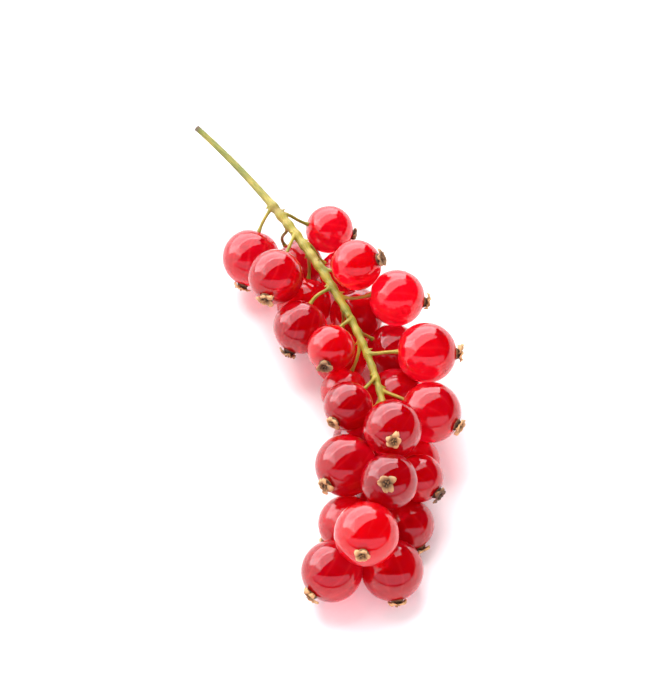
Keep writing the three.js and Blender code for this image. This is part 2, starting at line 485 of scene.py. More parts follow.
@dataclass
class Recipe:
    """A material under way: its node tree, with short ways to add and join nodes.

    A Mix node takes its factor and two colours at mix_inputs and gives the mixed colour at mix_output.
    """

    name: str
    mix_inputs: tuple = (0, 6, 7)
    mix_output: int = 2

    def __post_init__(self) -> None:
        """Makes the material with its Principled shader."""
        self.material = bpy.data.materials.new(self.name)
        self.material.use_nodes = True
        self.tree = self.material.node_tree
        self.shader = self.tree.nodes["Principled BSDF"]

    def add(self, kind: str, **settings: object) -> bpy.types.Node:
        """Adds a node.

        Args:
            kind: The node's type.
            settings: Its properties by name, and its inputs' values by name with _ for a space.

        Returns:
            The node.
        """
        node = self.tree.nodes.new(kind)
        for key, value in settings.items():
            if key in node.bl_rna.properties:
                setattr(node, key, value)
            else:
                node.inputs[key.replace("_", " ")].default_value = value
        return node

    def join(self, source: Socket, target: Socket) -> None:
        """Joins an output to an input."""
        self.tree.links.new(source, target)

    def feed(self, value: object, socket: Socket) -> None:
        """Joins an output to an input, or sets the input's own value.

        Args:
            value: The output, or the value.
            socket: The input.
        """
        if isinstance(value, Socket):
            self.join(value, socket)
        else:
            socket.default_value = value

    def set(self, **values: object) -> None:
        """Sets the shader's own sockets, by name with _ for a space."""
        for key, value in values.items():
            self.shader.inputs[key.replace("_", " ")].default_value = value

    def paint(self, colour: Socket) -> None:
        """Gives the shader its colour."""
        self.join(colour, self.shader.inputs["Base Color"])

    def attribute(self, name: str, output: str = "Fac") -> Socket:
        """What an attribute of the mesh holds, by default as a number."""
        return self.add("ShaderNodeAttribute", attribute_name=name).outputs[output]

    def place(self) -> Socket:
        """The place on the piece, in metres."""
        return self.add("ShaderNodeTexCoord").outputs["Object"]

    def parts(self, vector: Socket) -> list[Socket]:
        """Takes a vector apart.

        Args:
            vector: The vector.

        Returns:
            Its X, Y and Z.
        """
        node = self.add("ShaderNodeSeparateXYZ")
        self.join(vector, node.inputs[0])
        return list(node.outputs)

    def math(self, operation: str, *operands: object) -> Socket:
        """Adds a Math node over sockets and numbers.

        Args:
            operation: Its operation.
            operands: Sockets or numbers, in order.

        Returns:
            Its output.
        """
        node = self.add("ShaderNodeMath", operation=operation)
        for socket, operand in zip(node.inputs, operands):
            self.feed(operand, socket)
        return node.outputs[0]

    def noise(self, place: Socket, scale: float, detail: float = 2) -> Socket:
        """Adds a noise over a place.

        Args:
            place: The coordinates.
            scale: Its scale in them.
            detail: How many finer layers it has.

        Returns:
            Its value, from 0 to 1.
        """
        node = self.add("ShaderNodeTexNoise", Scale=scale, Detail=detail)
        self.join(place, node.inputs["Vector"])
        return node.outputs[0]

    def ramp(self, share: Socket, stops: dict[float, tuple]) -> Socket:
        """Adds a colour ramp.

        Args:
            share: What it reads.
            stops: Colours by their places on the ramp.

        Returns:
            Its colour.
        """
        node = self.add("ShaderNodeValToRGB")
        elements = node.color_ramp.elements
        while len(elements) < len(stops):
            elements.new(0.5)
        for element, (place, colour) in zip(elements, sorted(stops.items())):
            element.position = place
            element.color = (*colour, 1)
        self.join(share, node.inputs[0])
        return node.outputs[0]

    def mix(self, share: Socket, first: object, second: object) -> Socket:
        """Mixes two colours.

        Args:
            share: How much of the second there is, from 0 to 1.
            first: A socket or a colour.
            second: A socket or a colour.

        Returns:
            The mixed colour.
        """
        node = self.add("ShaderNodeMix", data_type="RGBA")
        for value, index in zip((share, first, second), self.mix_inputs):
            self.feed((*value, 1) if isinstance(value, tuple) else value, node.inputs[index])
        return node.outputs[self.mix_output]

    def between(self, value: Socket, low: float, high: float) -> Socket:
        """Finds how far a value is from low to high.

        Args:
            value: The value.
            low: Where the result is 0, which may be above high.
            high: Where it is 1.

        Returns:
            The share of the way, smoothly from 0 to 1.
        """
        node = self.add("ShaderNodeMapRange", interpolation_type="SMOOTHSTEP", From_Min=low, From_Max=high)
        self.join(value, node.inputs[0])
        return node.outputs[0]

    def bump(self, height: Socket, depth: float) -> None:
        """Raises the shader's surface.

        Args:
            height: How much, from 0 to 1.
            depth: What 1 is, in metres.
        """
        node = self.add("ShaderNodeBump", Distance=depth)
        self.join(height, node.inputs["Height"])
        self.join(node.outputs[0], self.shader.inputs["Normal"])


# ---- Finishes ----


@dataclass(frozen=True)
class BerryFinish:
    """Glossy translucent skin over red pulp, with pale veins from the pedicel to the crown."""

    ripe: tuple = (0.50, 0.001, 0.010)
    bright: tuple = (0.80, 0.003, 0.016)
    mottle_scale: float = 1.6
    mottle: float = 0.7
    ripening: float = 0.35
    vein: tuple = (1.0, 0.07, 0.07)
    vein_count: int = 12
    vein_half_width: float = 0.14
    vein_wander: float = 0.5
    vein_wander_scale: float = 1.1
    vein_strength: float = 0.18
    vein_ends: tuple = (0.97, 0.6)
    glow_radius: tuple = (1.0, 0.05, 0.04)
    glow_scale: float = 0.004
    glow_ahead: float = 0.3
    clearness: float = 0.62
    coat: float = 0.15
    roughness: float = 0.03
    ior: float = 1.42

    def material(self) -> bpy.types.Material:
        """Makes the material.

        Returns:
            The material, which reads the skin's own place and ripeness.
        """
        recipe = Recipe("berry_skin")
        place = recipe.attribute("skin_place", "Vector")
        mottle = recipe.math("MULTIPLY", recipe.noise(place, self.mottle_scale, detail=3), self.mottle)
        share = recipe.math("ADD", mottle, recipe.attribute("ripeness"))
        share = recipe.math("SUBTRACT", share, self.ripening)
        flesh = recipe.ramp(share, {0.0: self.bright, 1.0: self.ripe})
        veins = recipe.math("MULTIPLY", self.veins(recipe, place), self.vein_strength)
        recipe.paint(recipe.mix(veins, flesh, self.vein))
        recipe.set(
            Roughness=self.roughness,
            IOR=self.ior,
            Transmission_Weight=self.clearness,
            Coat_Weight=self.coat,
            Coat_Roughness=self.roughness,
            Subsurface_Weight=1.0,
            Subsurface_Radius=self.glow_radius,
            Subsurface_Scale=self.glow_scale,
            Subsurface_Anisotropy=self.glow_ahead,
        )
        return recipe.material

    def veins(self, recipe: Recipe, place: Socket) -> Socket:
        """Draws thin meridians that fade towards both ends.

        Args:
            recipe: The material under way.
            place: The place on the unit ball, with Z along the berry's axis.

        Returns:
            A mask from 0 to 1.
        """
        x, y, z = recipe.parts(place)
        turn = recipe.math("DIVIDE", recipe.math("ARCTAN2", y, x), FULL_TURN / self.vein_count)
        bends = recipe.noise(place, self.vein_wander_scale, detail=0)
        wander = recipe.math("MULTIPLY", bends, self.vein_wander)
        strip = recipe.math("PINGPONG", recipe.math("ADD", turn, wander), 0.5)
        line = recipe.between(strip, self.vein_half_width, 0.0)
        fade = recipe.between(recipe.math("ABSOLUTE", z), *self.vein_ends)
        return recipe.math("MULTIPLY", line, fade)


@dataclass(frozen=True)
class CrownFinish:
    """The dried flower: tan lobes with paler tips round a dark brown middle, darker where weathered."""

    heart: tuple = (0.035, 0.015, 0.006)
    lobe: tuple = (0.34, 0.175, 0.062)
    tip: tuple = (0.62, 0.385, 0.17)
    weathered: tuple = (0.14, 0.075, 0.036)
    fibre_scale: float = 2600
    fibre_strength: float = 0.5
    grain: float = 0.00006

    def material(self) -> bpy.types.Material:
        """Makes the material.

        Returns:
            The material, which reads the reach along each lobe and how weathered its crown is.
        """
        recipe = Recipe("dried_flower")
        fibres = recipe.noise(recipe.place(), self.fibre_scale, detail=4)
        streaks = recipe.math("MULTIPLY", recipe.math("SUBTRACT", fibres, 0.5), self.fibre_strength)
        share = recipe.math("ADD", recipe.attribute("reach"), streaks)
        fresh = recipe.ramp(share, {0.2: self.heart, 0.5: self.lobe, 0.8: self.tip})
        aged = recipe.ramp(share, {0.2: self.heart, 0.75: self.weathered, 1.0: self.lobe})
        recipe.paint(recipe.mix(recipe.attribute("weather"), fresh, aged))
        recipe.set(Roughness=0.75, Subsurface_Weight=0.12, Subsurface_Scale=0.0004)
        recipe.bump(fibres, self.grain)
        return recipe.material


@dataclass(frozen=True)
class StemFinish:
    """Green stalk with lengthwise streaks and yellow patches, greener on its bare end, brown at the cut.

    The shade's ends are places along the stalk, on the same scale as its grain.
    """

    green: tuple = (0.13, 0.155, 0.008)
    yellow: tuple = (0.42, 0.33, 0.036)
    streak_scale: float = 2.4
    patch_scale: float = 260
    tone_strength: float = 0.6
    bare_shade: float = 0.17
    shade_ends: tuple = (9.0, 2.0)
    blush: tuple = (0.25, 0.12, 0.04)
    blush_scale: float = 140
    blush_edges: tuple = (0.56, 0.74)
    blush_strength: float = 0.55
    cut: tuple = (0.11, 0.075, 0.045)
    groove: float = 0.00009

    def material(self) -> bpy.types.Material:
        """Makes the material.

        Returns:
            The material, which reads the place along and round each stem.
        """
        recipe = Recipe("green_stem")
        grain = recipe.attribute("grain", "Vector")
        place = recipe.place()
        streaks = recipe.noise(grain, self.streak_scale, detail=4)
        patches = recipe.noise(place, self.patch_scale, detail=3)
        tones = [recipe.math("MULTIPLY", each, self.tone_strength) for each in (streaks, patches)]
        bare = recipe.between(recipe.parts(grain)[2], *self.shade_ends)
        shade = recipe.math("MULTIPLY", bare, self.bare_shade)
        tone = recipe.math("SUBTRACT", recipe.math("ADD", *tones), shade)
        skin = recipe.ramp(tone, {0.42: self.green, 0.72: self.yellow})
        blush = recipe.between(recipe.noise(place, self.blush_scale), *self.blush_edges)
        skin = recipe.mix(recipe.math("MULTIPLY", blush, self.blush_strength), skin, self.blush)
        recipe.paint(recipe.mix(recipe.attribute("cut"), skin, self.cut))
        recipe.set(Roughness=0.42, Subsurface_Weight=0.25, Subsurface_Scale=0.0006)
        recipe.bump(streaks, self.groove)
        return recipe.material


@dataclass(frozen=True)
class FloorFinish:
    """Matt white table surface."""

    colour: tuple = (0.93, 0.93, 0.93)
    grain_scale: float = 90
    grain_shade: float = 0.985

    def material(self) -> bpy.types.Material:
        """Makes the material.

        Returns:
            The material, with the faintest grain.
        """
        recipe = Recipe("white_table")
        shade = tuple(self.grain_shade * part for part in self.colour)
        grain = recipe.noise(recipe.place(), self.grain_scale, detail=3)
        recipe.paint(recipe.mix(grain, self.colour, shade))
        recipe.set(Roughness=0.8, Specular_IOR_Level=0.1)
        return recipe.material


# ---- Making pieces ----


def mesh_object(name: str, bm: Mesh) -> bpy.types.Object:
    """Makes a bmesh in metres an object at the origin, with smooth faces.

    Args:
        name: The object's name.
        bm: The mesh, which is freed.

    Returns:
        The object, linked to the scene.
    """
    for face in bm.faces:
        face.smooth = True
    mesh = bpy.data.meshes.new(name)
    bm.to_mesh(mesh)
    bm.free()
    made = bpy.data.objects.new(name, mesh)
    bpy.context.scene.collection.objects.link(made)
    return made


def add_cone(
    bm: Mesh, sides: int, foot: float, tip: float, length: float, place: Matrix = AT_ORIGIN
) -> Verts:
    """Adds a closed cone along Z, with its middle at the origin, or where a matrix takes it.

    Args:
        bm: The mesh.
        sides: How many sides it has.
        foot: Its radius at the lower end.
        tip: Its radius at the upper end.
        length: Its length.
        place: The matrix.

    Returns:
        Its vertices.
    """
    made = bmesh.ops.create_cone(
        bm, cap_ends=True, segments=sides, radius1=foot, radius2=tip, depth=length, matrix=place
    )
    return list(made["verts"])


def standing_at(point: np.ndarray, direction: np.ndarray) -> Matrix:
    """The matrix that stands a shape's Z along a direction, at a point given in millimetres."""
    turn = Vector(direction).to_track_quat("Z", "Y").to_matrix().to_4x4()
    return Matrix.Translation(Vector(point) * MM) @ turn


def finish_piece(piece: bpy.types.Object, slot: Slot, material: bpy.types.Material) -> None:
    """Finishes a piece and lets it ride on the strig's one body.

    Args:
        piece: The piece.
        slot: The record's slot. It is not used.
        material: Its material.
    """
    piece.data.materials.append(material)
    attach(piece, "root")


def triangle_count(piece: bpy.types.Object) -> int:
    """How many triangles a piece has."""
    return sum(len(face.vertices) - 2 for face in piece.data.polygons)


@dataclass(frozen=True)
class SkinWave:
    """A gentle wave over the unit ball along one of its axes, bent by another. Axes are 0 to 2."""

    axis: int
    rate: float
    bend: float
    bend_axis: int
    bend_rate: float

    def height(self, spots: np.ndarray, phase: float, bend_phase: float) -> np.ndarray:
        """The wave's height, from -1 to 1, at points on the unit ball."""
        bend = self.bend * np.sin(spots[:, self.bend_axis] * self.bend_rate + bend_phase)
        return np.sin(spots[:, self.axis] * self.rate + phase + bend)


@dataclass
class BerrySkins:
    """All berries in one piece: balls with a dimple at the pedicel, pressed flat where they touch."""

    layout: StrigLayout
    meridians: int = 44
    parallels: int = 30
    shrink: float = 0.1
    dimple_width: float = 0.2
    dimple_depth: float = 0.06
    shoulder: float = 0.012
    waves: tuple = (SkinWave(0, 2.6, 1.7, 1, 1.9), SkinWave(2, 2.9, 1.4, 0, 2.2))
    wave_draws: int = 6
    wobble: float = 0.006
    floor_gap: float = 0.03
    ripeness: float = 0.45
    ripeness_spread: float = 0.5
    seed: int = 5

    def build(self) -> bpy.types.Object:
        """Makes all skins, each point with its place on its own ball and its berry's ripeness.

        Returns:
            The piece.
        """
        ball = bmesh.new()
        bmesh.ops.create_uvsphere(ball, u_segments=self.meridians, v_segments=self.parallels, radius=1)
        spots = np.array([vert.co for vert in ball.verts], float)
        unit_ball = bpy.data.meshes.new("unit_ball")
        ball.to_mesh(unit_ball)
        ball.free()
        bm = bmesh.new()
        for _ in self.layout.berries:
            bm.from_mesh(unit_ball)
        bpy.data.meshes.remove(unit_ball)
        place = bm.verts.layers.float_vector.new("skin_place")
        ripeness = bm.verts.layers.float.new("ripeness")
        draw = seeded_draws(self.seed)
        verts = iter(bm.verts)
        for berry in self.layout.berries:
            points = self.shape(berry, spots, draw)
            own_ripeness = self.ripeness + self.ripeness_spread * draw()
            for spot, point in zip(spots, points):
                vert = next(verts)
                vert.co = point * MM
                vert[place] = spot
                vert[ripeness] = own_ripeness
        return mesh_object("berry_skins", bm)

    def unevenness(self, spots: np.ndarray, draw: Draw) -> np.ndarray:
        """Draws a gentle unevenness over a ball. Each wave takes two of the draws, and the rest are spare.

        Args:
            spots: The points on the unit ball.
            draw: The next random draw.

        Returns:
            How far each point is drawn in, from -1 to 0.
        """
        phases = np.array([draw() for _ in range(self.wave_draws)]) * math.pi
        height = sum(wave.height(spots, *phases[2 * i : 2 * i + 2]) for i, wave in enumerate(self.waves))
        highest = len(self.waves)
        return (height - highest) / (2 * highest)

    def shape(self, berry: Berry, spots: np.ndarray, draw: Draw) -> np.ndarray:
        """Shapes one berry.

        Args:
            berry: The berry.
            spots: Its points on the unit ball, with Z along its axis.
            draw: The next random draw.

        Returns:
            The points where they lie, in millimetres.
        """
        size = (berry.radius - self.shrink) * (1 + self.wobble * self.unevenness(spots, draw))
        near_stem = np.exp(-((1 + spots[:, 2]) / (self.dimple_width**2)))
        near_crown = np.exp(-((1 - spots[:, 2]) / (self.dimple_width**2)))
        size = size * (1 - self.dimple_depth * near_stem - self.shoulder * near_crown)
        points = berry.centre + (spots * size[:, None]) @ berry.frame_matrix()
        for other in self.layout.berries:
            if other is not berry and berry.gap_to(other) < 0:
                self.press(points, berry, other)
        points[:, 2] = np.maximum(points[:, 2], self.floor_gap)
        return points

    def press(self, points: np.ndarray, berry: Berry, other: Berry) -> None:
        """Flattens a berry on the plane where it meets another.

        Args:
            points: Its points, moved in place.
            berry: The berry.
            other: The one that it meets.
        """
        line = other.centre - berry.centre
        distance = length_of(line)
        line = line / distance
        reach = (distance**2 + berry.radius**2 - other.radius**2) / (2 * distance)
        past = (points - berry.centre) @ line - reach + self.shrink / 2
        points -= np.maximum(past, 0)[:, None] * line

    def dress(self, piece: bpy.types.Object) -> None:
        """Gives the skins their finish, in place of the solid berries."""
        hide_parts("berries")
        finish_piece(piece, Slot.BERRIES, BerryFinish().material())


@dataclass
class Crowns:
    """The dried flowers in one piece: five puckered lobes each, round a dark cup with withered threads.

    A crown is modelled with +Z away from its berry. Fields ending in _reach are what the finish reads, from
    0 in the dark middle to 1 at the lobes' tips.
    """

    layout: StrigLayout
    # The whole crown
    seat: float = 0.06
    size: float = 0.98
    size_spread: float = 0.08
    weathering: float = 0.25
    weathering_power: float = 1.2
    seed: int = 11
    # The lobes
    lobes: int = 5
    lobe_columns: int = 4
    lobe_rows: int = 6
    lobe_width: float = 1.3
    lobe_stray: float = 0.12
    inner_radius: float = 0.34
    outer_radius: float = 1.5
    closed_spread: float = 0.86
    outline_start: float = 0.2
    outline_run: float = 0.74
    outline_power: float = 0.9
    start: float = 0.16
    rise: float = 0.46
    bow: tuple = (1.25, 0.85)
    bow_run: float = 0.62
    bow_power: float = 0.8
    curl: float = 0.25
    curl_spread: float = 0.2
    skew: float = 0.35
    thickness: float = 0.17
    pucker: float = 0.2
    pucker_spread: float = 1.5
    pucker_drop: float = 0.3
    pucker_at_foot: float = 0.4
    ruck: float = 0.08
    rucks_along: float = 8
    rucks_across: float = 3
    unevenness: float = 0.2
    foot_reach: float = 0.25
    midrib_reach: float = 0.12
    # The cup
    cup_sides: int = 15
    cup_foot: float = 1.18
    cup_rim: float = 0.68
    cup_depth: float = 0.82
    cup_sunk: float = 0.51
    cup_foot_reach: float = 0.5
    cup_rim_reach: float = 0.14
    # The threads
    threads: int = 6
    thread_sides: int = 5
    thread_stray: float = 0.4
    thread_radius: float = 0.115
    thread_taper: float = 0.9
    thread_length: float = 0.61
    thread_lean: float = 0.35
    thread_spread: float = 0.3
    thread_ring: float = 0.16
    thread_foot: float = 0.15
    thread_foot_reach: float = 0.22
    thread_tip_reach: float = 0.5

    def build(self) -> bpy.types.Object:
        """Makes all crowns, each of closed shells: a cup, its lobes and its threads.

        Returns:
            The piece.
        """
        bm = bmesh.new()
        self.reach = bm.verts.layers.float.new("reach")
        self.weather = bm.verts.layers.float.new("weather")
        self.sheets = []
        draw = seeded_draws(self.seed)
        for berry in self.layout.berries:
            seat = berry.centre + berry.axis * (berry.radius - self.seat)
            size = self.size + self.size_spread * draw()
            weather = min(1.0, max(0.0, self.weathering + draw()) ** self.weathering_power)
            made = self.crown(bm, draw)
            spin = FULL_TURN * draw()
            turned = np.array([vert.co for vert in made], float) @ turn_about_axis(spin).T * size
            points = seat + turned @ berry.frame_matrix()
            for vert, point in zip(made, points):
                vert.co = point * MM
                vert[self.weather] = weather
        self.thicken_lobes(bm)
        return mesh_object("flower_crowns", bm)

    def thicken_lobes(self, bm: Mesh) -> None:
        """Makes each lobe's sheet a closed shell, half of its thickness on each side.

        Args:
            bm: The mesh of all crowns, in metres.
        """
        bm.normal_update()
        half = self.thickness / 2 * MM
        offsets = {vert.co.copy().freeze(): vert.normal * half for vert in self.sheets}
        faces = list({face for vert in self.sheets for face in vert.link_faces})
        grown = bmesh.ops.extrude_face_region(bm, geom=faces, use_keep_orig=True)["geom"]
        for item in grown:
            if isinstance(item, bmesh.types.BMVert):
                item.co += offsets[item.co.copy().freeze()]
        for vert in self.sheets:
            vert.co -= offsets[vert.co.copy().freeze()]
        bmesh.ops.recalc_face_normals(bm, faces=bm.faces)

    def crown(self, bm: Mesh, draw: Draw) -> Verts:
        """Adds one crown at the origin.

        Args:
            bm: The mesh that it is added to, in millimetres until it is placed.
            draw: The next random draw.

        Returns:
            Its vertices.
        """
        made = self.cup(bm)
        openness = 0.5 + 0.5 * draw()
        for i in range(self.lobes):
            turn = FULL_TURN * (i + self.lobe_stray * draw()) / self.lobes
            made += self.lobe(bm, turn, openness, draw)
        for i in range(self.threads):
            turn = FULL_TURN * (i + self.thread_stray * draw()) / self.threads
            made += self.thread(bm, turn, draw)
        return made

    def cup(self, bm: Mesh) -> Verts:
        """Adds the dark cup that the lobes stand on, sunk in the skin of its berry.

        Args:
            bm: The mesh.

        Returns:
            Its vertices.
        """
        made = add_cone(bm, self.cup_sides, self.cup_foot, self.cup_rim, self.cup_depth)
        for vert in made:
            vert[self.reach] = self.cup_foot_reach if vert.co.z < 0 else self.cup_rim_reach
            vert.co.z += self.cup_depth / 2 - self.cup_sunk
        return made

    def lobe(self, bm: Mesh, turn: float, openness: float, draw: Draw) -> Verts:
        """Adds one lobe, which rises from the cup, spreads outwards and puckers at its edges.

        Args:
            bm: The mesh.
            turn: Its place round the crown, in radians.
            openness: How wide the crown has opened, from 0 to 1.
            draw: The next random draw.

        Returns:
            Its vertices.
        """
        grid = bmesh.ops.create_grid(
            bm, x_segments=self.lobe_columns, y_segments=self.lobe_rows, size=0.5
        )["verts"]
        spread = lerp(self.closed_spread, 1.0, openness) * (1 + self.unevenness * draw())
        breadth = self.lobe_width / 2 * (1 + self.unevenness * draw())
        skew = self.skew * draw()
        fold = self.pucker * (self.pucker_spread * draw() - self.pucker_drop)
        curl = self.curl + self.curl_spread * draw()
        phase = math.pi * draw()
        for vert in grid:
            across, along = 2 * vert.co.x, vert.co.y + 0.5
            radius = lerp(self.inner_radius, self.outer_radius * spread, along)
            outline = math.sin(math.pi * (self.outline_start + self.outline_run * along))
            half_width = breadth * outline**self.outline_power
            bow = math.sin(math.pi * self.bow_run * along**self.bow_power) * lerp(*self.bow, openness)
            height = self.start + self.rise * bow - curl * along**3
            height += fold * across**2 * (self.pucker_at_foot + along)
            height += self.ruck * math.sin(self.rucks_along * along + self.rucks_across * across + phase)
            side = across * half_width + skew * along**2
            vert.co = (
                radius * math.cos(turn) - side * math.sin(turn),
                radius * math.sin(turn) + side * math.cos(turn),
                height,
            )
            vert[self.reach] = lerp(self.foot_reach, 1, along) - self.midrib_reach * (1 - abs(across))
        self.sheets += grid
        return grid

    def thread(self, bm: Mesh, turn: float, draw: Draw) -> Verts:
        """Adds one withered thread that leans out of the cup.

        Args:
            bm: The mesh.
            turn: Its place round the crown, in radians.
            draw: The next random draw.

        Returns:
            Its vertices.
        """
        lean = self.thread_lean + self.thread_spread * draw()
        length = self.thread_length * (1 + self.thread_spread * draw())
        tip = self.thread_radius * self.thread_taper
        made = add_cone(bm, self.thread_sides, self.thread_radius, tip, length)
        place = Matrix.Rotation(turn, 3, "Z") @ Matrix.Rotation(lean, 3, "Y")
        out = self.thread_ring
        foot = Vector((out * math.cos(turn), out * math.sin(turn), self.thread_foot))
        for vert in made:
            vert[self.reach] = self.thread_foot_reach if vert.co.z < 0 else self.thread_tip_reach
            vert.co = foot + place @ (vert.co + Vector((0, 0, length / 2)))
        return made

    def dress(self, piece: bpy.types.Object) -> None:
        """Gives the crowns their finish."""
        finish_piece(piece, Slot.CROWNS, CrownFinish().material())


@dataclass
class GreenStem:
    """The stalk and its pedicels as one skin, with swollen nodes, and a small scale under each pedicel."""

    layout: StrigLayout
    # The stalk
    stalk_sides: int = 14
    cut_radius: float = 0.5
    first_radius: float = 0.72
    tip_radius: float = 0.36
    heel: float = 0.036
    heel_reach: float = 0.9
    node_swell: float = 0.2
    node_reach: float = 0.75
    node_past_foot: float = 0.2
    foot_search_steps: int = 600
    # The pedicels
    pedicel_sides: int = 10
    pedicel_radius: float = 0.29
    foot_flare: float = 0.2
    foot_flare_reach: float = 0.8
    end_flare: float = 0.16
    end_flare_reach: float = 0.55
    end_sunk: float = 0.62
    # The scales
    scale_sides: int = 8
    scale_length: float = 1.0
    scale_radius: float = 0.3
    scale_tip_radius: float = 0.07
    scale_lean: float = 0.35
    scale_out: float = 0.15
    scale_back: float = 0.55
    # Their one skin
    ring_step: float = 0.4
    fewest_steps: int = 10
    voxel: float = 0.1
    smoothing: int = 5
    smoothing_factor: float = 0.5
    # What the finish reads
    grain_step: float = 0.8
    grain_fewest_steps: int = 8
    grain_round: float = 3
    grain_along: float = 0.35
    grain_apart: float = 40
    stain: float = 1.4
    stain_fade: float = 0.7
    stain_reach: float = 3

    def build(self) -> bpy.types.Object:
        """Makes the stalk, its pedicels and its scales, and welds them in one skin with its own grain.

        Returns:
            The piece.
        """
        bm = bmesh.new()
        self.foot_places = self.distance_along_stalk()
        self.tube(bm, self.layout.stalk, self.stalk_sides, self.stalk_radius_at)
        for berry in self.layout.berries:
            self.tube(bm, self.whole_pedicel(berry), self.pedicel_sides, self.pedicel_radius_at)
            self.scale(bm, berry)
        bmesh.ops.recalc_face_normals(bm, faces=bm.faces)
        piece = mesh_object("strig_stem", bm)
        self.weld(piece)
        self.mark_grain(piece)
        return piece

    def distance_along_stalk(self) -> np.ndarray:
        """Finds how far along the stalk each pedicel's foot is.

        Returns:
            The distances from the cut end, in millimetres.
        """
        stalk = self.layout.stalk
        line = np.array([stalk.point(share) for share in stalk.spaced_shares(self.foot_search_steps)])
        places = np.linspace(0, stalk.length(), len(line))
        nearest = [np.argmin(((line - foot) ** 2).sum(axis=1)) for foot in self.layout.feet]
        return places[nearest]

    def stalk_radius_at(self, place: float, length: float) -> float:
        """Sizes the stalk, with a swelling at each pedicel.

        Args:
            place: The distance from its cut end.
            length: Its whole length.

        Returns:
            Its radius there.
        """
        bare = self.layout.bare_share * length
        if place < bare:
            radius = lerp(self.cut_radius, self.first_radius, place / bare)
        else:
            radius = lerp(self.first_radius, self.tip_radius, (place - bare) / (length - bare))
        from_node = np.abs(self.foot_places + self.node_past_foot - place).min()
        swelling = self.node_swell * bell(from_node, self.node_reach) * (radius / self.first_radius)
        return radius + swelling + self.heel * bell(place, self.heel_reach)

    def pedicel_radius_at(self, place: float, length: float) -> float:
        """Sizes a pedicel, flared at both ends.

        Args:
            place: The distance from its foot.
            length: Its whole length.

        Returns:
            Its radius there.
        """
        foot = self.foot_flare * bell(place, self.foot_flare_reach)
        end = self.end_flare * bell(length - place, self.end_flare_reach)
        return self.pedicel_radius + foot + end

    def whole_pedicel(self, berry: Berry) -> CubicLine:
        """Runs a pedicel's line on into the dimple of its berry.

        Args:
            berry: The berry.

        Returns:
            The line.
        """
        line = CubicLine(berry.pedicel.controls.copy())
        line.controls[3] = berry.centre - berry.axis * (berry.radius - self.end_sunk)
        return line

    def tube(
        self, bm: Mesh, line: CubicLine, sides: int, radius_at: Callable[[float, float], float]
    ) -> None:
        """Adds a closed tube of rings bridged along a line.

        Args:
            bm: The mesh, in metres.
            line: Its middle line in millimetres.
            sides: How many sides each ring has.
            radius_at: The radius in millimetres by the distance along it and its whole length.
        """
        length = line.length()
        steps = max(self.fewest_steps, round(length / self.ring_step))
        before = None
        for i, share in enumerate(line.spaced_shares(steps)):
            ring = bmesh.ops.create_circle(
                bm,
                cap_ends=i in (0, steps),
                segments=sides,
                radius=radius_at(i / steps * length, length) * MM,
                matrix=standing_at(line.point(share), line.tangent(share)),
            )["verts"]
            edges = list({edge for vert in ring for edge in vert.link_edges})
            if before:
                bmesh.ops.bridge_loops(bm, edges=before + edges)
            before = edges

    def scale(self, bm: Mesh, berry: Berry) -> None:
        """Adds the small pointed scale on the stalk, on the cut end's side of a pedicel.

        Args:
            bm: The mesh, in metres.
            berry: The pedicel's berry.
        """
        share = self.layout.stalk_share(berry.age)
        along = self.layout.stalk.tangent(share)
        outwards = unit(berry.foot - self.layout.stalk.point(share))
        direction = unit(outwards + self.scale_lean * along)
        foot = berry.foot + outwards * self.scale_out - along * self.scale_back
        place = standing_at(foot + direction * self.scale_length / 2, direction)
        radii = self.scale_radius * MM, self.scale_tip_radius * MM
        add_cone(bm, self.scale_sides, *radii, self.scale_length * MM, place)

    def weld(self, piece: bpy.types.Object) -> None:
        """Joins the tubes in one skin and smooths it.

        Args:
            piece: The stem, whose mesh is replaced.
        """
        remesh = piece.modifiers.new("one skin", "REMESH")
        remesh.mode = "VOXEL"
        remesh.voxel_size = self.voxel * MM
        remesh.use_smooth_shade = True
        smooth = piece.modifiers.new("even skin", "SMOOTH")
        smooth.factor = self.smoothing_factor
        smooth.iterations = self.smoothing
        depsgraph = bpy.context.evaluated_depsgraph_get()
        welded = bpy.data.meshes.new_from_object(piece.evaluated_get(depsgraph))
        piece.modifiers.clear()
        piece.data = welded

    def mark_grain(self, piece: bpy.types.Object) -> None:
        """Stores what the finish reads at each point.

        Args:
            piece: The stem.
        """
        points = np.array([vert.co for vert in piece.data.vertices], float) / MM
        grain = piece.data.attributes.new("grain", "FLOAT_VECTOR", "POINT")
        grain.data.foreach_set("vector", self.grain(points).astype(np.float32).ravel())
        cut = piece.data.attributes.new("cut", "FLOAT", "POINT")
        cut.data.foreach_set("value", self.nearness_to_cut(points).astype(np.float32))

    def grain(self, points: np.ndarray) -> np.ndarray:
        """Measures each point against the nearest stem's line.

        Args:
            points: The points, in millimetres.

        Returns:
            Their places round and along that stem, each stem's far apart from the others'.
        """
        grain = np.zeros_like(points)
        nearest = np.full(len(points), np.inf)
        lines = [self.layout.stalk, *(self.whole_pedicel(berry) for berry in self.layout.berries)]
        for number, line in enumerate(lines):
            length = line.length()
            steps = max(self.grain_fewest_steps, round(length / self.grain_step))
            for i, share in enumerate(line.spaced_shares(steps)):
                along = line.tangent(share)
                side = unit(np.cross(along, UP))
                over = np.cross(side, along)
                offset = points - line.point(share)
                distance = (offset**2).sum(axis=1)
                closer = distance < nearest
                nearest[closer] = distance[closer]
                near = offset[closer]
                run = i / steps * length + near @ along + self.grain_apart * number
                across = (near @ side * self.grain_round, near @ over * self.grain_round)
                grain[closer] = np.column_stack([*across, run * self.grain_along])
        return grain

